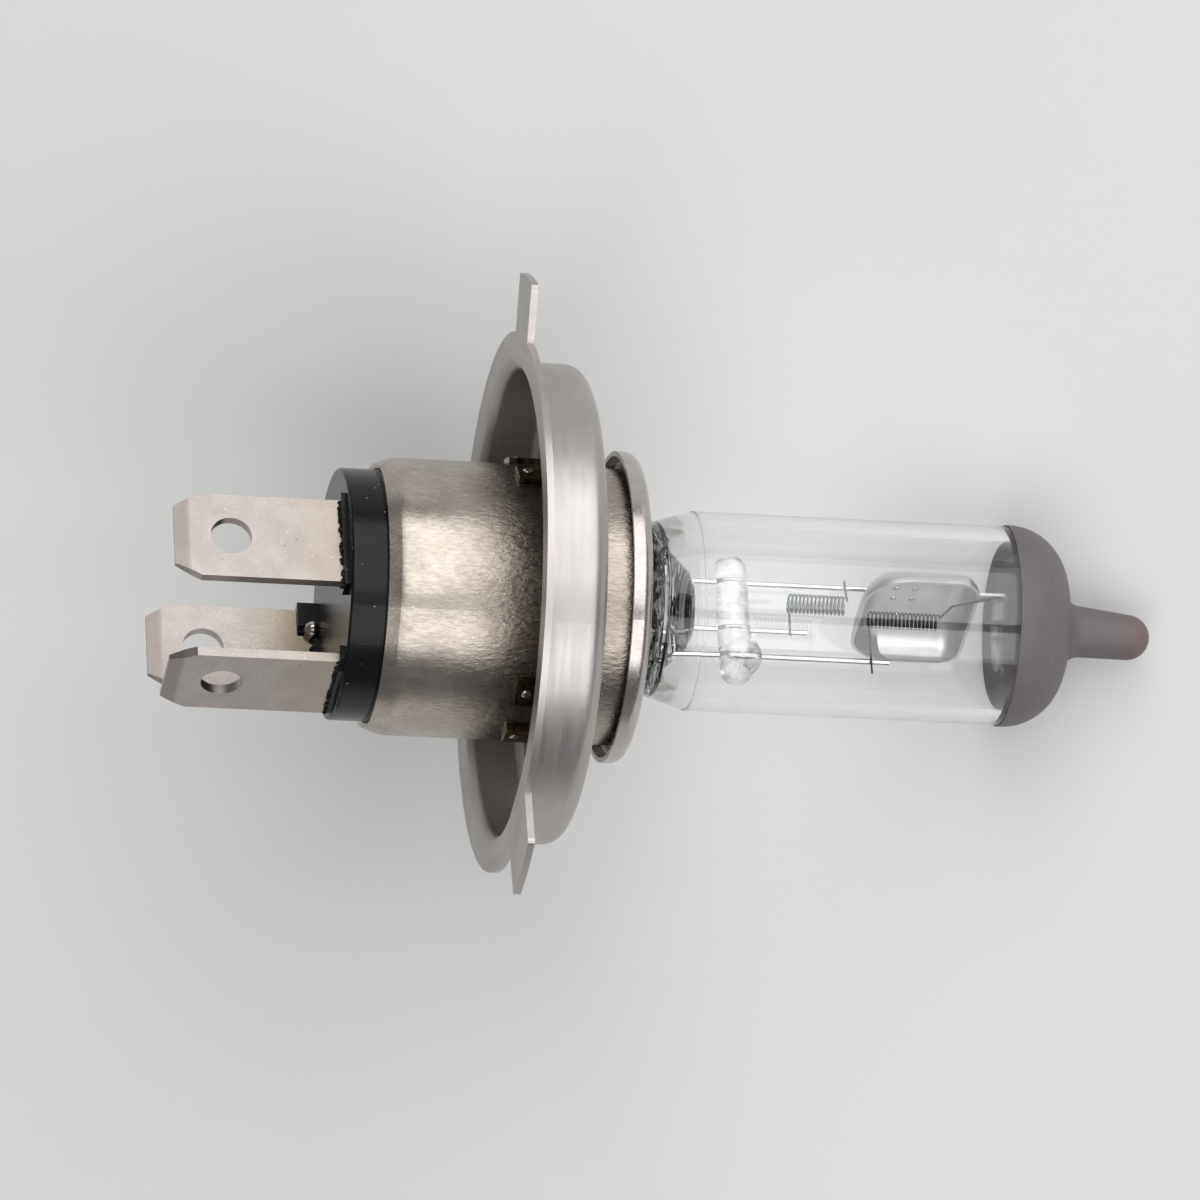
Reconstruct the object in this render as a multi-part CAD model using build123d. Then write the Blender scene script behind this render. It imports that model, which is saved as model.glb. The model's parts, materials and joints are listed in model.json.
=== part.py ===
from build123d import *
import math
import os

# Halogen headlight bulb with two filaments and a three-lug flange, lying as it comes to rest.
# Every piece is drawn upright on the bulb's own axis: Z runs from the terminals to the glass tip,
# Z = 0 is the front face of the lugs, and heights and radii are in millimetres.
# Angles turn about Z from the side that faces up when the bulb lies down.

# Flange
cup_diameter = 38.2
rim_width = 2.4
cup_depth = 4.9
cup_edge_radius = 1.4
cup_root_radius = 0.3
flange_sheet = 0.55
lug_length = 4.7
lug_width = 5.9
top_lug_width = 7.3
lug_corner_radius = 0.4
top_lug_angle = 49.0
lug_spread = 133.0
tongue_width = 2.5
tongue_spread = 29.0
tongue_overhang = 0.5
tongue_sheet = 0.45

# Base sleeve and the disc that closes its front
sleeve_diameter = 22.0
sleeve_sheet = 0.4
sleeve_back = 9.9
lip_length = 1.3
lip_draw = 0.5
lip_bend_radius = 2.0
disc_overhang = 1.4
disc_front = 9.6
disc_height = 1.6
disc_sheet = 0.4
disc_edge_radius = 0.9

# Insulator and terminals
insulator_back = 14.1
insulator_front = 4.0
insulator_edge_radius = 0.25
collar_width = 0.45
collar_height = 0.4
terminal_angle = 52.9
terminal_tip = 27.8
terminal_width = 7.6
terminal_sheet = 0.8
terminal_tip_sheet = 0.4
terminal_bevel = 1.2
terminal_chamfer_width = 1.1
terminal_chamfer_length = 2.1
terminal_hole_diameter = 3.3
terminal_hole_setback = 4.5
terminal_shoulder = 9.0
terminal_tail_width = 3.0
terminal_tail_length = 1.4
low_terminal_inset = 2.6
high_terminal_inset = 3.7
earth_terminal_inset = 2.7
earth_terminal_shift = 0.4
lead_notch_length = 1.6
lead_notch_width = 2.4

# Glass
tube_diameter = 15.9
glass_wall = 1.15
tube_start = 14.5
shoulder_start = 10.4
shoulder_diameter = 13.4
shoulder_edge_radius = 0.8
shoulder_bend_radius = 7.0
dome_end = 44.6
dome_radius = 4.5
dome_rise = 0.3
nipple_root_diameter = 4.2
nipple_end_diameter = 3.4
nipple_end = 52.0
nipple_root_fillet = 1.7
nipple_lean = 3.8
nipple_lean_angle = 86.0
cavity_start = 14.6
cavity_valley = 11.7
cavity_valley_radius = 5.3
cavity_nose_bend_radius = 2.5
cavity_valley_bend_radius = 0.5
cavity_shoulder_bend_radius = 4.0
coating_thickness = 0.12
coating_start = 40.0
pinch_width = 13.4
pinch_thickness = 4.4
pinch_edge_radius = 0.8
pinch_end = -2.5
burner_angle = 50.9

# Wires in the glass
foil_pitch = 4.0
foil_width = 2.4
foil_sheet = 0.12
foil_start = 1.4
foil_end = 8.4
support_wire_diameter = 0.44
common_wire_height = -2.95
high_wire_height = 1.6
low_wire_height = 4.03
common_wire_end = 34.0
high_wire_end = 24.0
low_wire_end = 30.5
wire_bend_start = 9.0
wire_bend_end = 12.0

# Filaments
filament_wire_diameter = 0.16
high_coil_diameter = 1.65
high_coil_start = 22.6
high_coil_length = 4.75
high_coil_turns = 15
high_coil_height = -1.17
low_coil_diameter = 1.4
low_coil_start = 29.0
low_coil_length = 5.8
low_coil_turns = 18
leg_overrun = 0.5
low_leg_overrun = 1.2

# Beam shield
shield_start = 28.2
shield_end = 37.4
shield_width = 11.2
shield_depth = 2.9
shield_sheet = 0.25
shield_rim_height = 0.2
shield_back_radius = 2.5
shield_front_radius = 1.7
shield_tab_width = 0.7
shield_tab_length = 2.0
shield_tab_offset = 3.9
weld_button_radius = 0.4
weld_button_rise = 0.12
weld_spacing = 1.5
first_weld = 31.4
first_weld_offset = -0.4

# Glass bridge
bridge_height = 18.1
bridge_diameter = 2.7
bridge_lump_diameter = 3.1
bridge_low_end = -5.3
bridge_high_end = 6.3

# Clip, leads and solder
clip_sheet = 0.4
clip_length = 6.5
clip_foot = 1.2
outer_lead_diameter = 0.6
lead_turn_height = -3.2
solder_diameter = 1.5

fit_clearance = 0.05

# Worked out from the sizes above
rim_radius = cup_diameter / 2 + rim_width
lug_reach = rim_radius + lug_length
sleeve_radius = sleeve_diameter / 2
sleeve_bore_radius = sleeve_radius - sleeve_sheet
sleeve_front = disc_front - disc_sheet
low_terminal_distance = sleeve_radius - low_terminal_inset
high_terminal_distance = sleeve_radius - high_terminal_inset
earth_terminal_distance = sleeve_radius - earth_terminal_inset
terminals = {
    "terminal_low_beam": (90.0, low_terminal_distance, 0.0),
    "terminal_high_beam": (0.0, high_terminal_distance, 0.0),
    "terminal_earth": (180.0, earth_terminal_distance, earth_terminal_shift),
}
earth_lead_x = -(earth_terminal_distance - terminal_sheet / 2 - outer_lead_diameter / 2 - 2 * fit_clearance)
earth_lead_y = earth_terminal_shift - terminal_width / 2 + lead_notch_width - outer_lead_diameter / 2
coil_legs_x = (support_wire_diameter + filament_wire_diameter) / 2
burner = Rot(0, 0, burner_angle - 90)
plug = Rot(0, 0, terminal_angle - 90)


def turned(points, radii=None):
    """Solid turned about Z from (radius, height) points, each inner corner rounded by its radius."""
    radii = radii or [0] * (len(points) - 2)
    line = FilletPolyline(*points, radius=radii) if any(radii) else Polyline(*points)
    face = make_face(line + Line(points[-1], points[0]))
    return revolve(Plane.XZ * face, Axis.Z)


def turned_sheet(points, radii, sheet, side):
    """Ring of bent sheet: the points run along one face and the sheet lies on the given side."""
    line = FilletPolyline(*points, radius=radii)
    face = make_face(offset(line, amount=sheet, side=side))
    return revolve(Plane.XZ * face, Axis.Z)


def tube_sector(inner, outer, bottom, top, middle_angle, sector_angle):
    """Part of a tube, centred on one angle."""
    profile = Pos((inner + outer) / 2, (bottom + top) / 2) * Rectangle(outer - inner, top - bottom)
    sector = revolve(Plane.XZ * profile, Axis.Z, revolution_arc=sector_angle)
    return Rot(0, 0, middle_angle - sector_angle / 2) * sector


def rod(points, diameter):
    """Round wire through the points, with balls at its bends."""
    wire = Part()
    for start, end in zip(points, points[1:]):
        run = Vector(*end) - Vector(*start)
        stretch = Cylinder(diameter / 2, run.length, align=(Align.CENTER, Align.CENTER, Align.MIN))
        wire += Plane(origin=start, z_dir=run) * stretch
    for bend in points[1:-1]:
        wire += Pos(*bend) * Sphere(diameter / 2)
    return wire


def block(width, depth, bottom, top):
    """Upright block about Z between two heights."""
    return Pos(0, 0, bottom) * Box(width, depth, top - bottom, align=(Align.CENTER, Align.CENTER, Align.MIN))


def lug(width, angle):
    """Flat lug that stands out of the rim, its end an arc about the axis."""
    inner = cup_diameter / 2
    strip = Pos((inner + lug_reach) / 2, 0) * Rectangle(lug_reach - inner, width)
    outline = strip & Rot(0, 0, 180) * Circle(lug_reach)
    outline = fillet(outline.vertices().sort_by(Axis.X)[-2:], lug_corner_radius)
    return Rot(0, 0, angle) * extrude(outline, amount=-flange_sheet)


def make_flange():
    """Stamped flange: rim, three lugs, cup, and six tongues welded to the sleeve."""
    cup_radius = cup_diameter / 2
    hole_radius = sleeve_radius + fit_clearance
    tongue_radius = hole_radius + tongue_sheet
    flange = turned_sheet(
        [(rim_radius, 0), (cup_radius, 0), (cup_radius, cup_depth), (hole_radius, cup_depth)],
        [cup_root_radius, cup_edge_radius],
        flange_sheet,
        Side.LEFT,
    )
    flange += lug(top_lug_width, top_lug_angle)
    flange += lug(lug_width, top_lug_angle + lug_spread)
    flange += lug(lug_width, top_lug_angle - lug_spread)
    tongue_angle = math.degrees(tongue_width / tongue_radius)
    for lug_angle in (top_lug_angle, top_lug_angle + lug_spread, top_lug_angle - lug_spread):
        for side in (-1, 1):
            flange += tube_sector(
                hole_radius,
                tongue_radius,
                -tongue_overhang,
                cup_depth,
                lug_angle + side * tongue_spread / 2,
                tongue_angle,
            )
    return flange


def make_sleeve():
    """Drawn sleeve whose back edge is closed in over the insulator."""
    lip_end = (sleeve_radius - lip_draw, -sleeve_back - lip_length)
    return turned_sheet(
        [(sleeve_radius, sleeve_front), (sleeve_radius, -sleeve_back), lip_end],
        [lip_bend_radius],
        sleeve_sheet,
        Side.RIGHT,
    )


def make_disc():
    """Front disc with a turned-down edge and a slot for the pinch of the glass."""
    radius = sleeve_radius + disc_overhang
    disc = turned_sheet(
        [(radius, disc_front - disc_height), (radius, disc_front), (0, disc_front)],
        [disc_edge_radius],
        disc_sheet,
        Side.LEFT,
    )
    slot_width = pinch_thickness + 2 * clip_sheet
    slot_depth = pinch_width + 2 * clip_sheet
    return disc - burner * block(slot_width, slot_depth, sleeve_front - 1, disc_front + 1)


def make_clip():
    """Collar of spring sheet round the pinch, with a foot welded under the disc."""
    hole_width = pinch_thickness + 2 * fit_clearance
    hole_depth = pinch_width + 2 * fit_clearance
    bottom = sleeve_front - clip_length
    collar = block(hole_width + 2 * clip_sheet, hole_depth + 2 * clip_sheet, bottom, sleeve_front)
    foot_width = hole_width + 2 * (clip_foot + clip_sheet)
    foot_depth = 2 * (sleeve_bore_radius - clip_foot)
    foot = block(foot_width, foot_depth, sleeve_front - clip_sheet, sleeve_front)
    return burner * (collar + foot - block(hole_width, hole_depth, bottom - 1, sleeve_front + 1))


def terminal_outline(clearance=0.0):
    """Flat outline of a terminal: X is across the blade and Y is the height."""
    blade_width = terminal_width + 2 * clearance
    tail_width = terminal_tail_width + 2 * clearance
    shoulder = -terminal_shoulder + clearance
    tail_end = -insulator_front + terminal_tail_length
    blade = Pos(0, (shoulder - terminal_tip) / 2) * Rectangle(blade_width, terminal_tip + shoulder)
    tail = Pos(0, (shoulder + tail_end) / 2) * Rectangle(tail_width, tail_end - shoulder)
    return blade + tail


def terminal_place(angle, distance, shift):
    """Place of a terminal whose outline was drawn across X, with its face towards Y."""
    return plug * Rot(0, 0, angle - 90) * Pos(shift, distance, 0)


def make_terminal(name, place):
    """Flat blade with chamfered corners, a thinned tip, a detent hole and a tail inside the base."""
    half = terminal_width / 2
    outline = terminal_outline()
    for side in (-1, 1):
        corner = (side * half, -terminal_tip)
        outline -= make_face(
            Polyline(
                corner,
                (side * (half - terminal_chamfer_width), -terminal_tip),
                (side * half, -terminal_tip + terminal_chamfer_length),
                close=True,
            )
        )
    outline -= Pos(0, -terminal_tip + terminal_hole_setback) * Circle(terminal_hole_diameter / 2)
    if name == "terminal_earth":
        notch_place = Pos(-half + lead_notch_width / 2, -insulator_back - lead_notch_length / 2)
        outline -= notch_place * Rectangle(lead_notch_width, lead_notch_length)
    blade = extrude(Plane.XZ * outline, amount=terminal_sheet / 2, both=True)
    thinning = (terminal_sheet - terminal_tip_sheet) / 2
    for side in (-1, 1):
        face_y = side * terminal_sheet / 2
        wedge = make_face(
            Polyline(
                (face_y, -terminal_tip),
                (face_y - side * thinning, -terminal_tip),
                (face_y, -terminal_tip + terminal_bevel),
                close=True,
            )
        )
        blade -= extrude(Plane.YZ * wedge, amount=terminal_width, both=True)
    return terminal_place(*place) * blade


def notch_filling():
    """Moulded lump that fills the notch of the earth terminal."""
    width = lead_notch_width + collar_width - fit_clearance
    depth = terminal_sheet + 2 * collar_width
    start = -insulator_back - lead_notch_length + fit_clearance
    middle = -terminal_width / 2 + lead_notch_width - fit_clearance - width / 2
    return Pos(middle, 0, 0) * block(width, depth, start, -insulator_back - fit_clearance)


def make_insulator():
    """Moulded plug with a collared slot for each terminal and a hole for the lead that passes through."""
    seat_radius = sleeve_bore_radius - 2 * fit_clearance
    plug_radius = seat_radius - lip_draw
    lip_start = -sleeve_back - lip_length
    body = turned(
        [
            (0, -insulator_back),
            (plug_radius, -insulator_back),
            (plug_radius, lip_start),
            (seat_radius, -sleeve_back + fit_clearance),
            (seat_radius, -insulator_front),
            (0, -insulator_front),
        ],
        [insulator_edge_radius, 0, 0, 0],
    )
    back_face = Cylinder(plug_radius - insulator_edge_radius, 4 * insulator_back)
    collar = block(
        terminal_width + 2 * collar_width,
        terminal_sheet + 2 * collar_width,
        -insulator_back - collar_height,
        -insulator_back,
    )
    slot_outline = Plane.XZ * terminal_outline(fit_clearance)
    slot = extrude(slot_outline, amount=terminal_sheet / 2 + fit_clearance, both=True)
    for place in terminals.values():
        body += terminal_place(*place) * collar & back_face
    for place in terminals.values():
        body -= terminal_place(*place) * slot
    body += terminal_place(*terminals["terminal_earth"]) * notch_filling() & back_face
    hole = Cylinder(outer_lead_diameter / 2 + fit_clearance, 4 * insulator_back)
    return body - plug * Pos(earth_lead_x, earth_lead_y, 0) * hole


def tip_body(grow=0.0):
    """Outer form of the tube, its dome and the leaning exhaust nipple, grown all round."""
    radius = tube_diameter / 2 + grow
    root_radius = nipple_root_diameter / 2 + grow
    end_radius = nipple_end_diameter / 2 + grow
    tube = turned(
        [(0, tube_start), (radius, tube_start), (radius, dome_end + grow), (0, dome_end + dome_rise + grow)],
        [0, dome_radius + grow],
    )
    nipple_start = dome_end - glass_wall
    ball_height = nipple_end - nipple_end_diameter / 2 - nipple_start
    nipple = turned([(0, 0), (root_radius, 0), (end_radius, ball_height), (0, ball_height)])
    nipple += Pos(0, 0, ball_height) * Sphere(end_radius)
    nipple = Pos(0, 0, nipple_start) * Rot(0, 0, nipple_lean_angle) * Rot(0, nipple_lean, 0) * nipple
    body = tube + nipple
    return fillet(new_edges(tube, nipple, combined=body), nipple_root_fillet - grow)


def inner_wires():
    """Foils and leads that the pinch of the glass is pressed round."""
    return [make_foil(place) for place in (-1, 0, 1)] + list(make_support_wires().values())


def make_foil(place):
    """Thin foil that carries the current through the pinch."""
    foil = block(foil_sheet, foil_width, foil_start, foil_end)
    return burner * Pos(0, place * foil_pitch, 0) * foil


def support_wire(place, height, end):
    """Stiff wire from its foil, out of the pinch and along the tube."""
    foil_y = place * foil_pitch
    return burner * rod(
        [(0, foil_y, foil_end), (0, foil_y, wire_bend_start), (0, height, wire_bend_end), (0, height, end)],
        support_wire_diameter,
    )


def make_support_wires():
    return {
        "support_wire_common": support_wire(-1, common_wire_height, common_wire_end),
        "support_wire_high_beam": support_wire(0, high_wire_height, high_wire_end),
        "support_wire_low_beam": support_wire(1, low_wire_height, low_wire_end),
    }


def spot(turn, x, y, height):
    """Point given in a frame that is turned about the axis."""
    return (turn * Pos(x, y, height)).position


def lead_runs():
    """Routes of the outer leads, from the foils to the terminals."""
    bottom = lead_turn_height
    reach = terminal_sheet / 2 + fit_clearance
    way_out = -insulator_back - collar_height
    ends = {
        "outer_lead_low_beam": (foil_pitch, [(0, low_terminal_distance - reach, bottom)]),
        "outer_lead_high_beam": (0, [(high_terminal_distance - reach, 0, bottom)]),
        "outer_lead_earth": (
            -foil_pitch,
            [(earth_lead_x, earth_lead_y, bottom), (earth_lead_x, earth_lead_y, way_out)],
        ),
    }
    runs = {}
    for name, (foil_y, plug_points) in ends.items():
        pinch_points = [spot(burner, 0, foil_y, foil_start), spot(burner, 0, foil_y, bottom)]
        runs[name] = pinch_points + [spot(plug, *point) for point in plug_points]
    return runs


def make_glass():
    """Blown tube with a dome and nipple, closed at the back by the flat pinch."""
    radius = tube_diameter / 2
    bore = radius - glass_wall
    shoulder = turned(
        [
            (0, shoulder_start),
            (shoulder_diameter / 2, shoulder_start),
            (radius, tube_start),
            (radius, tube_start + 2 * glass_wall),
            (0, tube_start + 2 * glass_wall),
        ],
        [shoulder_edge_radius, shoulder_bend_radius, 0],
    )
    slab = block(pinch_thickness, pinch_width, pinch_end, tube_start - glass_wall)
    slab = fillet(slab.edges().filter_by(Axis.Z), pinch_edge_radius)
    cavity = turned(
        [
            (0, cavity_start),
            (cavity_valley_radius - cavity_start + cavity_valley, cavity_start),
            (cavity_valley_radius, cavity_valley),
            (bore, tube_start),
            (bore, dome_end - glass_wall),
            (0, dome_end - glass_wall),
        ],
        [
            cavity_nose_bend_radius,
            cavity_valley_bend_radius,
            cavity_shoulder_bend_radius,
            dome_radius - glass_wall,
        ],
    )
    glass = tip_body() + shoulder + burner * slab - cavity
    for piece in inner_wires():
        glass -= piece
    for run in lead_runs().values():
        glass -= rod(run[:2], outer_lead_diameter)
    return glass


def make_coating():
    """Opaque coating over the dome, the nipple and the front of the tube."""
    front = block(2 * tube_diameter, 2 * tube_diameter, coating_start, nipple_end + tube_diameter)
    return (tip_body(coating_thickness) & front) - tip_body()


def coil(radius, length, turns):
    """Helix of fine wire from its first turn at height 0."""
    path = Helix(pitch=length / turns, height=length, radius=radius)
    section = Plane(origin=path @ 0, z_dir=path % 0) * RegularPolygon(filament_wire_diameter / 2, 6)
    return sweep(section, path=path, is_frenet=True)


def make_high_filament():
    """Rear filament, between the common wire and the high-beam wire."""
    radius = (high_coil_diameter - filament_wire_diameter) / 2
    end = high_coil_start + high_coil_length
    turns = Pos(0, high_coil_height, high_coil_start) * coil(radius, high_coil_length, high_coil_turns)
    back_leg = [
        (radius, high_coil_height, high_coil_start),
        (coil_legs_x, high_wire_height, high_coil_start),
        (coil_legs_x, high_wire_height + leg_overrun, high_coil_start),
    ]
    front_leg = [
        (radius, high_coil_height, end),
        (coil_legs_x, common_wire_height, end),
        (coil_legs_x, common_wire_height - leg_overrun, end),
    ]
    legs = rod(back_leg, filament_wire_diameter) + rod(front_leg, filament_wire_diameter)
    return burner * (turns + legs)


def make_low_filament():
    """Front filament, over the shield, from the low-beam wire to the shield's tab."""
    radius = (low_coil_diameter - filament_wire_diameter) / 2
    end = low_coil_start + low_coil_length
    leg_y = shield_rim_height + filament_wire_diameter / 2
    turns = Pos(0, 0, low_coil_start) * coil(radius, low_coil_length, low_coil_turns)
    back_leg = [
        (radius, 0, low_coil_start),
        (coil_legs_x, low_wire_height, low_coil_start),
        (coil_legs_x, low_wire_height + low_leg_overrun, low_coil_start),
    ]
    front_leg = [
        (radius, 0, end),
        (shield_tab_offset - 1.2, leg_y, end + 0.6),
        (shield_tab_offset + 0.3, leg_y, shield_end + shield_tab_length * 0.8),
    ]
    legs = rod(back_leg, filament_wire_diameter) + rod(front_leg, filament_wire_diameter)
    return burner * (turns + legs)


def boat(width, depth, start, end, back_radius, front_radius):
    """Half-elliptic trough with rounded ends, open side up."""
    section = Ellipse(width / 2, depth) & Pos(0, -depth) * Rectangle(2 * width, 2 * depth)
    hull = Pos(0, 0, start) * extrude(section, amount=end - start)
    ends = hull.faces().sort_by(Axis.Z)
    back_edge = ends[0].edges().filter_by(GeomType.ELLIPSE)
    hull = fillet(back_edge, back_radius)
    front_edge = hull.faces().sort_by(Axis.Z)[-1].edges().filter_by(GeomType.ELLIPSE)
    return fillet(front_edge, front_radius)


def make_shield():
    """Pressed shield under the front filament, with four weld buttons and a tab for the filament's leg."""
    outer = boat(
        shield_width, shield_depth, shield_start, shield_end, shield_back_radius, shield_front_radius
    )
    inner = boat(
        shield_width - 2 * shield_sheet,
        shield_depth - shield_sheet,
        shield_start + shield_sheet,
        shield_end - shield_sheet,
        shield_back_radius - shield_sheet,
        shield_front_radius - shield_sheet,
    )
    shield = outer - inner
    tab_start = shield_end - shield_sheet / 2
    tab = block(shield_tab_width, shield_sheet, tab_start, shield_end + shield_tab_length)
    shield += Pos(shield_tab_offset, -shield_sheet / 2, 0) * tab
    cap_start = weld_button_radius - weld_button_rise - shield_sheet / 2
    cap_block = Pos(0, cap_start + weld_button_radius, 0) * Box(2, 2 * weld_button_radius, 2)
    button = Rot(90, 0, 0) * Sphere(weld_button_radius) & cap_block
    for row, step in ((0, 0), (0, 1), (1, 0), (1, 1)):
        offset = first_weld_offset + row * weld_spacing
        reach = math.sqrt(1 - (offset / (shield_width / 2 - shield_sheet)) ** 2)
        bottom = -reach * (shield_depth - shield_sheet) - weld_button_radius + weld_button_rise
        shield += Pos(offset, bottom, first_weld + step * weld_spacing) * button
    return burner * Pos(0, shield_rim_height, 0) * shield


def make_bridge():
    """Glass rod melted round the three support wires, with a lump at the low-beam wire."""
    length = bridge_high_end - bridge_low_end
    upright = Cylinder(bridge_diameter / 2, length, align=(Align.CENTER, Align.CENTER, Align.MIN))
    bar = Rot(-90, 0, 0) * upright
    bar = fillet(bar.edges(), bridge_diameter / 2 * 0.8)
    bridge = Pos(0, bridge_low_end, bridge_height) * bar
    lump_shift = bridge_diameter / 6
    lump_place = Pos(lump_shift, low_wire_height + bridge_diameter / 8, bridge_height + lump_shift)
    bridge = burner * (bridge + lump_place * Sphere(bridge_lump_diameter / 2))
    for wire in make_support_wires().values():
        bridge -= wire
    return bridge


def make_pieces():
    pieces = {
        "flange": make_flange(),
        "base_sleeve": make_sleeve(),
        "front_disc": make_disc(),
        "pinch_clip": make_clip(),
        "insulator": make_insulator(),
        "glass_envelope": make_glass(),
        "tip_coating": make_coating(),
        "filament_high_beam": make_high_filament(),
        "filament_low_beam": make_low_filament(),
        "beam_shield": make_shield(),
        "glass_bridge": make_bridge(),
        "foil_earth": make_foil(-1),
        "foil_high_beam": make_foil(0),
        "foil_low_beam": make_foil(1),
    }
    pieces.update(make_support_wires())
    for name, place in terminals.items():
        pieces[name] = make_terminal(name, place)
    for name, run in lead_runs().items():
        # The ball is laid on its side, so that its poles stay clear of the cut faces.
        bead = Pos(*run[-1]) * Rot(90, 0, 0) * Sphere(solder_diameter / 2)
        terminal = pieces[name.replace("outer_lead", "terminal")]
        lead = rod(run, outer_lead_diameter)
        pieces[name] = lead
        pieces[name.replace("outer_lead", "solder")] = bead - lead - terminal - pieces["insulator"]
    return pieces


def resting_place(pieces):
    """Lie the bulb down on its third lug and the shoulder of its dome, with the floor at height 0."""
    painted_radius = tube_diameter / 2 + coating_thickness
    ball_radius = dome_radius + coating_thickness
    dome_slope = math.atan2(dome_rise, painted_radius)
    ball_height = dome_end + coating_thickness - ball_radius * math.tan(math.pi / 4 - dome_slope / 2)
    drop = lug_reach - (painted_radius - ball_radius)
    pitch = math.atan2(drop, ball_height) - math.asin(ball_radius / math.hypot(drop, ball_height))
    up = (math.sin(pitch), 0, math.cos(pitch))
    forward = (math.cos(pitch), 0, -math.sin(pitch))
    lying = Plane(origin=(0, 0, 0), x_dir=up, z_dir=forward).location
    extent = Compound([lying * piece for piece in pieces.values()]).bounding_box()
    return Pos(-extent.center().X, -extent.center().Y, lug_reach * math.cos(pitch)) * lying


pieces = make_pieces()
place = resting_place(pieces)
os.makedirs("parts", exist_ok=True)
for node, piece in pieces.items():
    export_step(place * piece, f"parts/{node}.step")
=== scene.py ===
import json
import math
import random

import bmesh
import bpy
from mathutils import Matrix, Vector


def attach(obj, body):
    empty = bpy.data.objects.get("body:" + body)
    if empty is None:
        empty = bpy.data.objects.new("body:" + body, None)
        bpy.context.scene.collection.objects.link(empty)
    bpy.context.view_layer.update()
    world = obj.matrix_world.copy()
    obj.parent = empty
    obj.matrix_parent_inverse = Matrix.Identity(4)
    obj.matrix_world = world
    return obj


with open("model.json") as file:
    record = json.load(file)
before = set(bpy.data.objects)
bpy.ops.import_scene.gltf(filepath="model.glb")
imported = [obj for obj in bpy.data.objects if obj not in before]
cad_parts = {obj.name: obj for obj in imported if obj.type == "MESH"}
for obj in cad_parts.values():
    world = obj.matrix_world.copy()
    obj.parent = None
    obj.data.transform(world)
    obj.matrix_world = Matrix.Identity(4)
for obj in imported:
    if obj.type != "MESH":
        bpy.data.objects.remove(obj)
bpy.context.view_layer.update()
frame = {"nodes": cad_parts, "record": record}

# The looks of a halogen headlight bulb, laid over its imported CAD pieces.
# Materials are placed on the bulb's own axis: Z runs along it towards the glass tip, X is the side that
# faces up, and Z = 0 is the front face of the lugs. Sizes there are in millimetres.
MM = 0.001

# Where the bulb lies, read from its mounts
SPIGOT_MIDDLE = 1.9 * MM
mounts = {mount["name"]: mount for mount in frame["record"]["mounts"]}
bulb_axis = Vector(mounts["spigot"]["axis"]).normalized()
bulb_side = Vector((0, -1, 0))
bulb_up = bulb_side.cross(bulb_axis)
bulb_centre = Vector(mounts["spigot"]["pos_m"]) - SPIGOT_MIDDLE * bulb_axis
bulb_turn = Matrix((bulb_up, bulb_side, bulb_axis)).transposed().to_4x4()

# The camera looks at the bulb from a side turned a little from the one that faces up
VIEW_ROLL = math.radians(4.1)
towards_camera = math.cos(VIEW_ROLL) * bulb_up - math.sin(VIEW_ROLL) * bulb_side
across_view = -math.sin(VIEW_ROLL) * bulb_up - math.cos(VIEW_ROLL) * bulb_side

# Places that the materials follow, in millimetres along the bulb's axis or out from it
SLEEVE_RADIUS = 11.0
SLEEVE_BACK = -11.2
WRINKLE_START = -8.0
WRINKLE_FULL = -1.0
HEAT_START = -6.0
HEAT_FULL = -1.0
HEAT_FADE = 4.5
HEAT_END = 6.5
TONGUE_OUTSIDE = 11.65
TONGUE_FRONT = 4.2
WARM_ROOT_START = -20.5
WARM_ROOT_FULL = -16.0
DULL_TIP_START = -26.5
DULL_TIP_FULL = -26.9
PINCH_FRONT = 11.9
NIPPLE_START = 48.5
NIPPLE_END = 51.0

# How far the front of the pinch's painted shade and swirls falls back for each square millimetre of its
# distance from the axis
PINCH_BULGE = 0.01

# Grain of the plain metal pieces, in millimetres
GRAIN_SIZE = 0.25
GRAIN_DEPTH = 0.004

# A cell of the speck pattern holds a speck where its random number is above this
SPECK_THRESHOLD = 0.6


# Node helpers

def add_node(tree, kind, **values):
    """A node with its settings and sockets set by name, underscores standing for spaces."""
    node = tree.nodes.new("ShaderNode" + kind)
    for name, value in values.items():
        if hasattr(node, name):
            setattr(node, name, value)
            continue
        set_socket(tree, node.inputs[name.replace("_", " ")], value)
    return node


def set_socket(tree, socket, value):
    """Links the socket to another one, or gives it a fixed value."""
    if isinstance(value, bpy.types.NodeSocket):
        tree.links.new(value, socket)
    else:
        socket.default_value = value


def math_node(tree, operation, *values):
    node = tree.nodes.new("ShaderNodeMath")
    node.operation = operation
    for socket, value in zip(node.inputs, values):
        set_socket(tree, socket, value)
    return node.outputs[0]


def spread(tree, value, low, high, new_low=0.0, new_high=1.0):
    """The value's range from low to high, moved to a new range and held there."""
    limits = {"From_Min": low, "From_Max": high, "To_Min": new_low, "To_Max": new_high}
    return add_node(tree, "MapRange", Value=value, **limits).outputs[0]


def mix_colours(tree, factor, first, second):
    """The first colour where the factor is 0, and the second where it is 1."""
    node = tree.nodes.new("ShaderNodeMix")
    node.data_type = "RGBA"
    set_socket(tree, node.inputs[0], factor)
    set_socket(tree, node.inputs[6], first)
    set_socket(tree, node.inputs[7], second)
    return node.outputs[2]


def bulb_place(tree):
    """The shaded point in millimetres on the bulb's own axis."""
    point = add_node(tree, "TexCoord").outputs["Object"]
    mapping = add_node(tree, "Mapping", vector_type="TEXTURE")
    set_socket(tree, mapping.inputs["Vector"], point)
    mapping.inputs["Location"].default_value = bulb_centre
    mapping.inputs["Rotation"].default_value = bulb_turn.to_euler()
    mapping.inputs["Scale"].default_value = (MM, MM, MM)
    return mapping.outputs[0]


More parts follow.
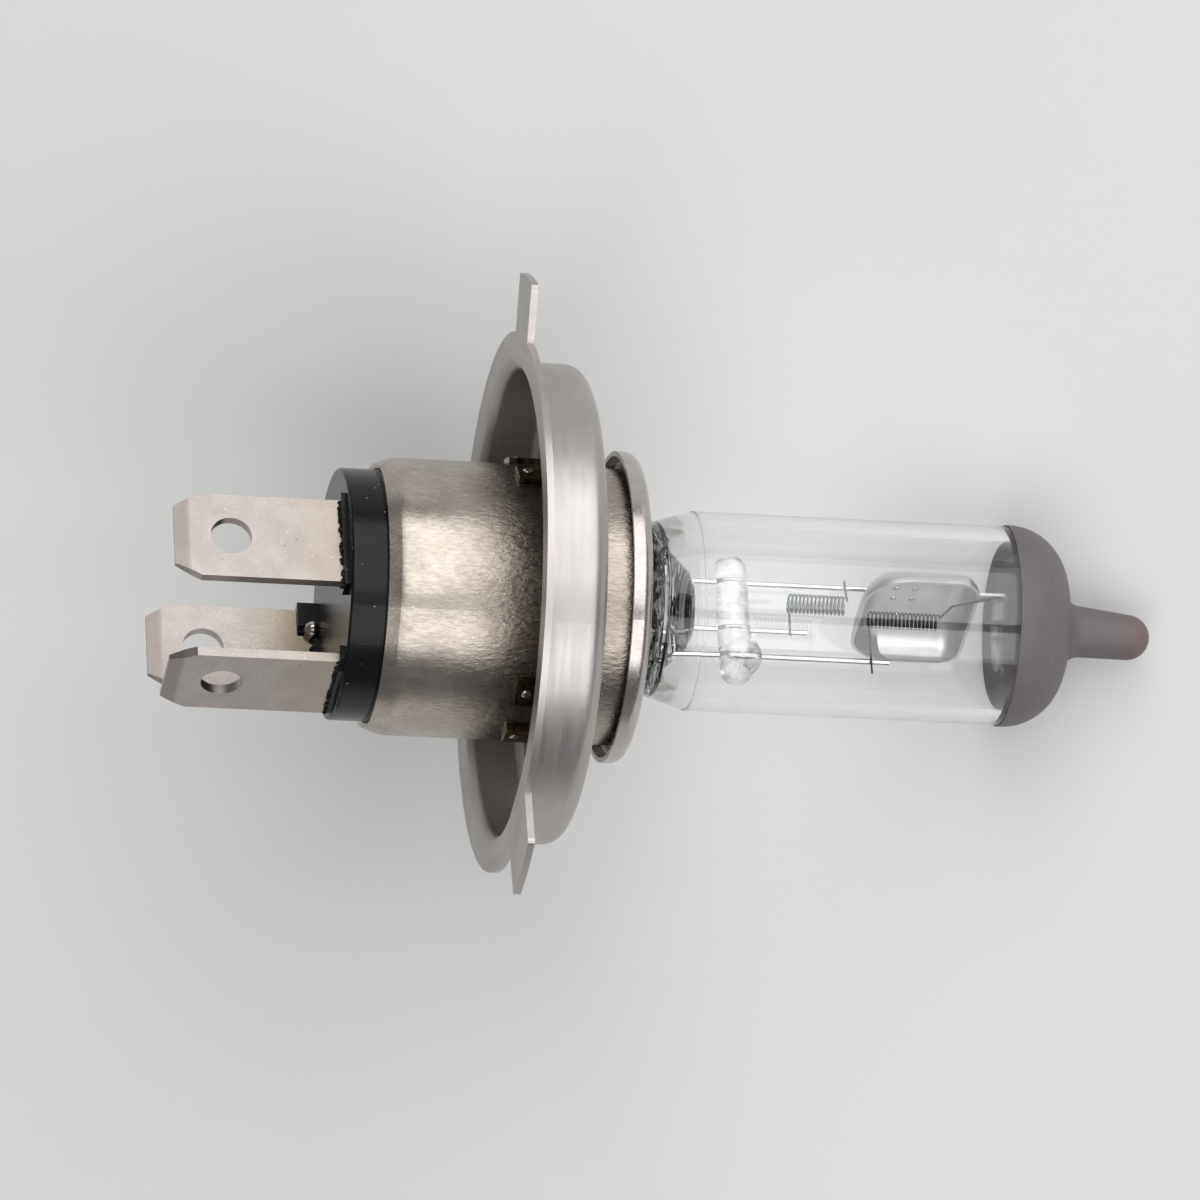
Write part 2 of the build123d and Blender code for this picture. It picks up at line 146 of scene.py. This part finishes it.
def polar_place(tree, place):
    """The point as arc length round the sleeve, radius and height."""
    parts = add_node(tree, "SeparateXYZ", Vector=place)
    angle = math_node(tree, "ARCTAN2", parts.outputs["Y"], parts.outputs["X"])
    arc = math_node(tree, "MULTIPLY", angle, SLEEVE_RADIUS)
    squares = math_node(tree, "MULTIPLY", parts.outputs["X"], parts.outputs["X"])
    squares = math_node(tree, "MULTIPLY_ADD", parts.outputs["Y"], parts.outputs["Y"], squares)
    radius = math_node(tree, "SQRT", squares)
    return arc, radius, parts.outputs["Z"]


def scaled_vector(tree, point, stretch):
    node = tree.nodes.new("ShaderNodeVectorMath")
    node.operation = "MULTIPLY"
    set_socket(tree, node.inputs[0], point)
    node.inputs[1].default_value = stretch
    return node.outputs[0]


def noise(tree, point, size, detail=3.0, stretch=(1, 1, 1), roughness=0.55):
    """Noise whose blotches are about the given size in millimetres."""
    node = add_node(
        tree,
        "TexNoise",
        Vector=scaled_vector(tree, point, stretch),
        Scale=1 / size,
        Detail=detail,
        Roughness=roughness,
    )
    return node.outputs[0]


def bumped(tree, height, distance, strength=1.0, normal=None):
    """A surface normal that follows the height, with relief as deep as the distance in millimetres."""
    node = add_node(tree, "Bump", Height=height, Distance=distance * MM, Strength=strength)
    if normal is not None:
        set_socket(tree, node.inputs["Normal"], normal)
    return node.outputs[0]


def new_material(name, **values):
    """A material with a Principled shader, and the tree and shader to build on."""
    material = bpy.data.materials.new(name)
    material.use_nodes = True
    tree = material.node_tree
    shader = tree.nodes["Principled BSDF"]
    for socket, value in values.items():
        set_socket(tree, shader.inputs[socket.replace("_", " ")], value)
    return material, tree, shader


def specks(tree, place, size, share):
    """1 on scattered dust specks, 0 elsewhere; a larger share of their cells gives larger specks."""
    cells = add_node(tree, "TexVoronoi", Vector=place, Scale=1 / size)
    near = math_node(tree, "LESS_THAN", cells.outputs["Distance"], share)
    number = add_node(tree, "SeparateColor", Color=cells.outputs["Color"]).outputs[0]
    chosen = math_node(tree, "GREATER_THAN", number, SPECK_THRESHOLD)
    return math_node(tree, "MULTIPLY", near, chosen)


def metal(name, light, dark, roughness, blotch=6.0, mottle=0.06):
    """Satin metal: two close tones in soft blotches, fine grain in the roughness and the surface."""
    material, tree, shader = new_material(name, Metallic=1.0)
    place = bulb_place(tree)
    tone = spread(tree, noise(tree, place, blotch), 0.35, 0.65)
    fine = noise(tree, place, GRAIN_SIZE)
    colour = mix_colours(tree, tone, (*light, 1), (*dark, 1))
    set_socket(tree, shader.inputs["Base Color"], colour)
    rough = spread(tree, fine, 0.3, 0.7, roughness - mottle, roughness + mottle)
    set_socket(tree, shader.inputs["Roughness"], rough)
    set_socket(tree, shader.inputs["Normal"], bumped(tree, fine, GRAIN_DEPTH))
    return material


def let_lamps_through(material):
    """Rays from lamps pass through the glass, so that it casts no dark shadow."""
    tree = material.node_tree
    output = tree.nodes["Material Output"]
    shader = tree.nodes["Principled BSDF"]
    clear = add_node(tree, "BsdfTransparent", Color=(0.94, 0.95, 0.95, 1))
    shadow_ray = add_node(tree, "LightPath").outputs["Is Shadow Ray"]
    mixer = add_node(tree, "MixShader")
    set_socket(tree, mixer.inputs[0], shadow_ray)
    set_socket(tree, mixer.inputs[1], shader.outputs[0])
    set_socket(tree, mixer.inputs[2], clear.outputs[0])
    tree.links.new(mixer.outputs[0], output.inputs["Surface"])
    return material


# Materials

def sleeve_look():
    """Warm drawn sleeve: fine strokes along it, wrinkled and browned by the flange, stained at the back."""
    light_steel = (0.5, 0.45, 0.395, 1)
    dark_steel = (0.41, 0.365, 0.325, 1)
    stain_brown = (0.2, 0.145, 0.12, 1)
    heat_brown = (0.19, 0.15, 0.12, 1)
    stroke_brown = (0.17, 0.14, 0.12, 1)
    dust_white = (0.9, 0.88, 0.85, 1)
    material, tree, shader = new_material("sleeve_steel", Metallic=1.0)
    arc, radius, height = polar_place(tree, bulb_place(tree))
    wrap = add_node(tree, "CombineXYZ", X=arc, Y=radius, Z=height).outputs[0]
    clouds = spread(tree, noise(tree, wrap, 4.0), 0.4, 0.62)
    strokes = noise(tree, wrap, 0.14, stretch=(1, 1, 0.22), roughness=0.7)
    wrinkles = noise(tree, wrap, 0.36, detail=4.0, stretch=(1, 1, 0.4), roughness=0.65)
    behind = spread(tree, height, HEAT_START, HEAT_FULL)
    near_flange = math_node(tree, "MULTIPLY", behind, spread(tree, height, HEAT_FADE, HEAT_END, 1.0, 0.55))
    patches = spread(tree, noise(tree, wrap, 2.5), 0.3, 0.6, 0.4, 0.8)
    heat = math_node(tree, "MULTIPLY", near_flange, patches)
    stains = spread(tree, noise(tree, wrap, 1.8, detail=5.0), 0.52, 0.7, 0.0, 0.5)
    near_back = spread(tree, height, SLEEVE_BACK + 6.0, SLEEVE_BACK + 1.0)
    stains = math_node(tree, "MULTIPLY", stains, near_back)
    colour = mix_colours(tree, clouds, light_steel, dark_steel)
    colour = mix_colours(tree, stains, colour, stain_brown)
    colour = mix_colours(tree, heat, colour, heat_brown)
    colour = mix_colours(tree, spread(tree, strokes, 0.4, 0.7, 0.0, 0.35), colour, stroke_brown)
    colour = mix_colours(tree, specks(tree, wrap, 1.1, 0.05), colour, dust_white)
    set_socket(tree, shader.inputs["Base Color"], colour)
    set_socket(tree, shader.inputs["Roughness"], spread(tree, strokes, 0.3, 0.7, 0.2, 0.34))
    fine = bumped(tree, strokes, 0.006)
    wrinkled = spread(tree, height, WRINKLE_START, WRINKLE_FULL, 0.15, 1.0)
    relief = math_node(tree, "MULTIPLY", wrinkles, wrinkled)
    set_socket(tree, shader.inputs["Normal"], bumped(tree, relief, 0.07, normal=fine))
    return material


def flange_look():
    """Satin stamped steel with faint bands round the cup; the welded tongues are burnt brown and gold."""
    light_steel = (0.49, 0.462, 0.447, 1)
    dark_steel = (0.41, 0.383, 0.37, 1)
    frost_grey = (0.3, 0.28, 0.27, 1)
    burnt_gold = (0.36, 0.27, 0.13, 1)
    burnt_brown = (0.08, 0.06, 0.045, 1)
    material, tree, shader = new_material("flange_steel", Metallic=1.0)
    arc, radius, height = polar_place(tree, bulb_place(tree))
    wrap = add_node(tree, "CombineXYZ", X=arc, Y=radius, Z=height).outputs[0]
    clouds = spread(tree, noise(tree, wrap, 5.0), 0.35, 0.65)
    bands = noise(tree, wrap, 0.4, stretch=(0.1, 1, 1))
    frost = noise(tree, wrap, 0.12, roughness=0.7)
    colour = mix_colours(tree, clouds, light_steel, dark_steel)
    colour = mix_colours(tree, spread(tree, frost, 0.45, 0.75, 0.0, 0.3), colour, frost_grey)
    inside = math_node(tree, "LESS_THAN", radius, TONGUE_OUTSIDE)
    behind = math_node(tree, "LESS_THAN", height, TONGUE_FRONT)
    tongue = math_node(tree, "MULTIPLY", inside, behind)
    scorch = spread(tree, noise(tree, wrap, 0.8), 0.38, 0.6)
    burnt = mix_colours(tree, scorch, burnt_gold, burnt_brown)
    colour = mix_colours(tree, tongue, colour, burnt)
    set_socket(tree, shader.inputs["Base Color"], colour)
    satin = spread(tree, bands, 0.3, 0.7, 0.34, 0.44)
    rough = math_node(tree, "MULTIPLY", satin, spread(tree, tongue, 0.0, 1.0, 1.0, 0.45))
    set_socket(tree, shader.inputs["Roughness"], rough)
    fine = bumped(tree, frost, 0.002)
    set_socket(tree, shader.inputs["Normal"], bumped(tree, bands, 0.006, normal=fine))
    return material


def insulator_look():
    """Dull black moulding with a soft sheen, fine scratches and dust."""
    deep_black = (0.003, 0.0033, 0.0036, 1)
    soft_black = (0.006, 0.006, 0.0064, 1)
    dust_grey = (0.35, 0.34, 0.33, 1)
    material, tree, shader = new_material("insulator_black", Specular_IOR_Level=0.22)
    place = bulb_place(tree)
    clouds = noise(tree, place, 2.0)
    scratches = noise(tree, place, 0.18, stretch=(1, 1, 0.15))
    dust = specks(tree, place, 0.6, 0.09)
    colour = mix_colours(tree, clouds, deep_black, soft_black)
    colour = mix_colours(tree, dust, colour, dust_grey)
    set_socket(tree, shader.inputs["Base Color"], colour)
    set_socket(tree, shader.inputs["Roughness"], spread(tree, scratches, 0.3, 0.7, 0.18, 0.28))
    set_socket(tree, shader.inputs["Normal"], bumped(tree, scratches, 0.01))
    return material


def terminal_look():
    """Pinkish plated blades: faint mottling, fine cross scratches, tiny dark specks and pale dust."""
    light_plating = (0.47, 0.425, 0.405, 1)
    dark_plating = (0.4, 0.36, 0.34, 1)
    warm_root_tone = (0.36, 0.3, 0.21, 1)
    tip_brown = (0.2, 0.175, 0.15, 1)
    mottle_brown = (0.28, 0.24, 0.22, 1)
    speck_brown = (0.1, 0.075, 0.06, 1)
    dust_white = (0.8, 0.79, 0.78, 1)
    material, tree, shader = new_material("terminal_plating", Metallic=1.0)
    place = bulb_place(tree)
    clouds = spread(tree, noise(tree, place, 2.6, detail=5.0), 0.38, 0.64)
    fine = noise(tree, place, 0.16, roughness=0.7)
    scratches = noise(tree, place, 0.12, stretch=(1, 1, 0.12))
    parts = add_node(tree, "SeparateXYZ", Vector=place)
    height = parts.outputs["Z"]
    # Warmer brown towards the collar on every blade, strongest on the one lying lowest
    lower_side = spread(tree, parts.outputs["X"], -2.0, -4.0, 0.45, 1.0)
    near_collar = spread(tree, height, WARM_ROOT_START, WARM_ROOT_FULL, 0.0, 0.8)
    warm = math_node(tree, "MULTIPLY", near_collar, lower_side)
    dull_tip = spread(tree, height, DULL_TIP_START, DULL_TIP_FULL, 0.0, 0.45)
    colour = mix_colours(tree, clouds, light_plating, dark_plating)
    colour = mix_colours(tree, warm, colour, warm_root_tone)
    colour = mix_colours(tree, dull_tip, colour, tip_brown)
    colour = mix_colours(tree, spread(tree, fine, 0.4, 0.75, 0.0, 0.35), colour, mottle_brown)
    colour = mix_colours(tree, specks(tree, place, 1.1, 0.055), colour, speck_brown)
    mirrored = scaled_vector(tree, place, (1, -1, 1))
    colour = mix_colours(tree, specks(tree, mirrored, 0.6, 0.065), colour, dust_white)
    set_socket(tree, shader.inputs["Base Color"], colour)
    set_socket(tree, shader.inputs["Roughness"], spread(tree, fine, 0.3, 0.7, 0.28, 0.4))
    mottled = bumped(tree, fine, 0.003)
    set_socket(tree, shader.inputs["Normal"], bumped(tree, scratches, 0.003, normal=mottled))
    return material


def coating_look():
    """Matte mauve-grey coating, a little redder at the very tip, with fine dust."""
    dark_mauve = (0.118, 0.102, 0.109, 1)
    light_mauve = (0.146, 0.128, 0.135, 1)
    tip_red = (0.18, 0.105, 0.105, 1)
    dust_grey = (0.4, 0.38, 0.38, 1)
    material, tree, shader = new_material("tip_coating_matte")
    place = bulb_place(tree)
    height = add_node(tree, "SeparateXYZ", Vector=place).outputs["Z"]
    clouds = noise(tree, place, 1.5)
    fine = noise(tree, place, 0.12)
    dust = specks(tree, place, 0.9, 0.06)
    colour = mix_colours(tree, clouds, dark_mauve, light_mauve)
    tip = spread(tree, height, NIPPLE_START, NIPPLE_END, 0.0, 0.6)
    colour = mix_colours(tree, tip, colour, tip_red)
    colour = mix_colours(tree, dust, colour, dust_grey)
    set_socket(tree, shader.inputs["Base Color"], colour)
    set_socket(tree, shader.inputs["Roughness"], spread(tree, fine, 0.3, 0.7, 0.5, 0.62))
    set_socket(tree, shader.inputs["Normal"], bumped(tree, fine, 0.008))
    return material


def glass_look():
    """Clear quartz tube with slight ripples and dust; the pinch is painted nearly black as shade for the
    dark parts seen through it, with molten swirls.
    """
    clear_glass = (0.985, 0.99, 0.988, 1)
    tinted_glass = (0.965, 0.975, 0.97, 1)
    pinch_painted_shade = (0.09, 0.093, 0.093, 1)
    material, tree, shader = new_material("bulb_glass", IOR=1.46, Roughness=0.0, Specular_IOR_Level=1.0)
    place = bulb_place(tree)
    _, radius, height = polar_place(tree, place)
    bulge = math_node(tree, "MULTIPLY", math_node(tree, "MULTIPLY", radius, radius), PINCH_BULGE)
    pinch = spread(tree, math_node(tree, "ADD", height, bulge), PINCH_FRONT, PINCH_FRONT - 0.5)
    ripple = noise(tree, place, 3.0, detail=1.0)
    flow = scaled_vector(tree, place, (0.16, 0.16, 0.75))
    bend = add_node(tree, "TexNoise", Vector=flow, Scale=1.0, Detail=0.0, Distortion=2.6).outputs[0]
    colour = mix_colours(tree, ripple, clear_glass, tinted_glass)
    # Painted shade: the pinch's glass is tinted nearly black for the darkness of what lies behind it
    colour = mix_colours(tree, pinch, colour, pinch_painted_shade)
    dust = specks(tree, place, 1.4, 0.035)
    set_socket(tree, shader.inputs["Base Color"], colour)
    set_socket(tree, shader.inputs["Transmission Weight"], math_node(tree, "SUBTRACT", 1.0, dust))
    smooth = bumped(tree, ripple, 0.02, strength=0.3)
    swirls = math_node(tree, "MULTIPLY", bend, pinch)
    set_socket(tree, shader.inputs["Normal"], bumped(tree, swirls, 1.3, normal=smooth))
    return let_lamps_through(material)


def bridge_look():
    """Melted glass of the rod that holds the wires: clear, a little milky, with soft drawn rings."""
    clear_glass = (0.97, 0.97, 0.97, 1)
    milky_glass = (0.9, 0.91, 0.9, 1)
    material, tree, shader = new_material("bridge_glass", IOR=1.45, Specular_IOR_Level=1.0)
    place = bulb_place(tree)
    haze = noise(tree, place, 1.4, detail=2.0)
    folds = noise(tree, place, 0.9, detail=1.0, stretch=(1, 1, 0.5))
    colour = mix_colours(tree, haze, clear_glass, milky_glass)
    set_socket(tree, shader.inputs["Base Color"], colour)
    set_socket(tree, shader.inputs["Transmission Weight"], spread(tree, haze, 0.4, 0.6, 1.0, 0.72))
    set_socket(tree, shader.inputs["Roughness"], spread(tree, haze, 0.45, 0.65, 0.0, 0.12))
    set_socket(tree, shader.inputs["Normal"], bumped(tree, folds, 0.12))
    return let_lamps_through(material)


# Single pieces have a look under their node's full name, and the rest under its first word
looks = {
    "flange": flange_look(),
    "base_sleeve": sleeve_look(),
    "front_disc": metal("disc_steel", (0.52, 0.485, 0.465), (0.43, 0.395, 0.375), 0.23, blotch=2.0),
    "pinch_clip": metal("clip_steel", (0.3, 0.28, 0.27), (0.22, 0.21, 0.2), 0.35),
    "insulator": insulator_look(),
    "tip_coating": coating_look(),
    "glass_envelope": glass_look(),
    "glass_bridge": bridge_look(),
    # Painted shade: the low-beam coil's tungsten is drawn nearly black, far darker than the high-beam coil,
    # for the shade it lies in within the shield
    "filament_low_beam": metal("low_coil_painted_shade", (0.06, 0.06, 0.062), (0.03, 0.03, 0.03), 0.25, blotch=0.5),
    "beam_shield": metal(
        "shield_steel", (0.54, 0.54, 0.55), (0.46, 0.46, 0.47), 0.38, blotch=2.0, mottle=0.03
    ),
}
families = {
    "terminal": terminal_look(),
    "outer": metal("lead_wire_copper", (0.5, 0.3, 0.2), (0.34, 0.18, 0.12), 0.25),
    "solder": metal("solder_metal", (0.6, 0.58, 0.56), (0.36, 0.26, 0.2), 0.15, blotch=0.6),
    "foil": metal("foil_metal", (0.6, 0.6, 0.62), (0.5, 0.5, 0.52), 0.2),
    "support": metal("support_wire_metal", (0.7, 0.68, 0.65), (0.58, 0.56, 0.54), 0.12, blotch=1.0),
    "filament": metal("filament_metal", (0.3, 0.3, 0.31), (0.2, 0.2, 0.21), 0.2, blotch=0.5),
}
for node_name, node_object in frame["nodes"].items():
    look = looks.get(node_name) or families[node_name.split("_")[0]]
    node_object.data.materials.clear()
    node_object.data.materials.append(look)


# Small forms that the CAD leaves out: moulding flash at the blades and weld dots on the tongues.
# Angles are in degrees round the bulb's axis, and sizes in millimetres.
BLADE_ANGLES = {"blade_low_beam": 52.9, "blade_high_beam": -37.1, "blade_earth": 142.9}
BLADE_MIDDLE = -21.2
BLADE_HALF_WIDTH = 3.8
BLADE_HALF_SHEET = 0.4
COLLAR_FACE = -14.5
CRUMB_SEED = 7
CRUMBS_PER_FACE = 70
CRUMB_HALF_WIDTHS = (0.06, 0.3)
CRUMB_HALF_HEIGHTS = (0.04, 0.16)
CRUMB_HALF_LENGTHS = (0.05, 0.3)
CRUMB_ROUGHNESS = 0.03
LUG_ANGLES = (49.0, 182.0, -84.0)
TONGUE_SPREAD = 29.0
TONGUE_RADIUS = 11.5
WELD_HEIGHT = 0.3
WELD_RADIUS = 0.38
WELD_RISE = 0.1


def outward_axes(angle):
    """Axes of a surface that faces out of the bulb at an angle round it: across, outwards and along."""
    turn = math.radians(angle)
    outwards = math.cos(turn) * bulb_up + math.sin(turn) * bulb_side
    return bulb_axis.cross(outwards), outwards, bulb_axis


def add_pebble(mesh, place, axes, size):
    """Small ball squashed to the given half sizes along the axes."""
    turn = Matrix(axes).transposed().to_4x4()
    matrix = Matrix.Translation(place) @ turn @ Matrix.Diagonal((*size, 1))
    bmesh.ops.create_icosphere(mesh, subdivisions=2, radius=1.0, matrix=matrix)


def add_piece(name, mesh, material):
    """The mesh as an object of its own that stays with the bulb."""
    data = bpy.data.meshes.new(name)
    mesh.to_mesh(data)
    piece = bpy.data.objects.new(name, data)
    bpy.context.scene.collection.objects.link(piece)
    data.materials.append(material)
    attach(piece, "root")


def add_flash():
    """Ragged crumbs of black plastic where each blade leaves its collar."""
    chance = random.Random(CRUMB_SEED)
    mesh = bmesh.new()
    for name, angle in BLADE_ANGLES.items():
        axes = outward_axes(angle)
        root = Vector(mounts[name]["pos_m"]) + (COLLAR_FACE - BLADE_MIDDLE) * MM * bulb_axis
        for side in (-1, 1):
            for _ in range(CRUMBS_PER_FACE):
                width = chance.uniform(*CRUMB_HALF_WIDTHS)
                height = chance.uniform(*CRUMB_HALF_HEIGHTS)
                length = chance.uniform(*CRUMB_HALF_LENGTHS)
                across = chance.uniform(-BLADE_HALF_WIDTH, BLADE_HALF_WIDTH)
                above = side * (BLADE_HALF_SHEET + height / 2)
                place = root + MM * (across * axes[0] + above * axes[1])
                add_pebble(mesh, place, axes, MM * Vector((width, height, length)))
    for vertex in mesh.verts:
        vertex.co += CRUMB_ROUGHNESS * MM * Vector([chance.uniform(-1, 1) for _ in range(3)])
    add_piece("insulator_flash", mesh, looks["insulator"])


def add_welds():
    """Low round weld dot on each tongue."""
    mesh = bmesh.new()
    for lug_angle in LUG_ANGLES:
        for side in (-1, 1):
            axes = outward_axes(lug_angle + side * TONGUE_SPREAD / 2)
            place = bulb_centre + MM * (WELD_HEIGHT * bulb_axis + TONGUE_RADIUS * axes[1])
            add_pebble(mesh, place, axes, MM * Vector((WELD_RADIUS, WELD_RISE, WELD_RADIUS)))
    for face in mesh.faces:
        face.smooth = True
    weld_metal = metal("weld_metal", (0.62, 0.58, 0.55), (0.5, 0.46, 0.43), 0.25, blotch=0.5)
    add_piece("tongue_welds", mesh, weld_metal)


add_flash()
add_welds()


# Floor, lights and camera, with their sizes in metres
FLOOR_WIDTH = 6.0
SKY_COLOUR = (0.8, 0.8, 0.82, 1)
SKY_STRENGTH = 0.25


def make_floor():
    """Plain pale floor that the bulb lies on."""
    dark_tone = (0.72, 0.72, 0.71, 1)
    light_tone = (0.75, 0.75, 0.74, 1)
    bpy.ops.mesh.primitive_plane_add(size=FLOOR_WIDTH)
    floor = bpy.context.object
    floor.name = "floor"
    material, tree, shader = new_material("floor_pale", Roughness=0.9)
    point = add_node(tree, "TexCoord").outputs["Object"]
    tone = add_node(tree, "TexNoise", Vector=point, Scale=4.0, Detail=2.0).outputs[0]
    set_socket(tree, shader.inputs["Base Color"], mix_colours(tree, tone, dark_tone, light_tone))
    floor.data.materials.append(material)


def make_sky():
    """Even pale light from all round."""
    world = bpy.data.worlds.new("studio")
    world.use_nodes = True
    background = world.node_tree.nodes["Background"]
    background.inputs["Color"].default_value = SKY_COLOUR
    background.inputs["Strength"].default_value = SKY_STRENGTH
    bpy.context.scene.world = world


# Two soft panels stand round the bulb's axis, each between two angles from the camera's side towards the
# top of the picture, where the bulb's long faces and the sleeve's drawn-in back edge mirror them
PANEL_DISTANCE = 1.2
PANEL_BRIGHTNESS = 2.1


def add_panel(name, low, high, back, front):
    """Soft lamp that faces the bulb, between two angles round its axis and two along it, in degrees."""
    middle = math.radians((low + high) / 2)
    tilt = math.radians((back + front) / 2)
    outwards = math.cos(middle) * towards_camera + math.sin(middle) * across_view
    outwards = math.cos(tilt) * outwards + math.sin(tilt) * bulb_axis
    around = math.cos(middle) * across_view - math.sin(middle) * towards_camera
    light = bpy.data.lights.new(name, "AREA")
    light.shape = "RECTANGLE"
    light.size = 2 * PANEL_DISTANCE * math.tan(math.radians(high - low) / 2)
    light.size_y = 2 * PANEL_DISTANCE * math.tan(math.radians(front - back) / 2)
    light.energy = PANEL_BRIGHTNESS * math.pi * light.size * light.size_y
    lamp = bpy.data.objects.new(name, light)
    turn = Matrix((around, outwards.cross(around), outwards)).transposed().to_4x4()
    lamp.matrix_world = Matrix.Translation(PANEL_DISTANCE * outwards) @ turn
    bpy.context.scene.collection.objects.link(lamp)


# The bulb's axis, the direction towards the camera and the one across the view, seen in the camera's own
# axes (right, down, forward), and the flange centre's place there in metres
AXIS_IN_VIEW = Vector((0.98412, 0.04737, 0.17109))
TOWARDS_IN_VIEW = Vector((0.17089, 0.00823, -0.98526))
ACROSS_IN_VIEW = Vector((0.04808, -0.99884, 0.0))
CENTRE_IN_VIEW = Vector((-7.322, 0.171, 974.15)) * MM
FOCAL_PIXELS = 12271.5
IMAGE_PIXELS = 1200


def make_camera():
    """Camera at the photo's place: long lens, almost straight above."""
    right, down, forward = (
        AXIS_IN_VIEW[i] * bulb_axis + TOWARDS_IN_VIEW[i] * towards_camera + ACROSS_IN_VIEW[i] * across_view
        for i in range(3)
    )
    place = bulb_centre - (CENTRE_IN_VIEW.x * right + CENTRE_IN_VIEW.y * down + CENTRE_IN_VIEW.z * forward)
    data = bpy.data.cameras.new("photo_camera")
    data.sensor_width = 36.0
    data.lens = FOCAL_PIXELS / IMAGE_PIXELS * data.sensor_width
    data.clip_start = 0.05
    data.clip_end = 20.0
    camera = bpy.data.objects.new("photo_camera", data)
    turn = Matrix((right, -down, -forward)).transposed().to_4x4()
    camera.matrix_world = Matrix.Translation(place) @ turn
    bpy.context.scene.collection.objects.link(camera)
    bpy.context.scene.camera = camera


make_floor()
add_panel("panel_high", low=2.0, high=70.0, back=-24.0, front=34.0)
add_panel("panel_low", low=-44.0, high=-8.0, back=-30.0, front=34.0)
make_camera()
make_sky()
bpy.context.scene.view_settings.view_transform = "Standard"
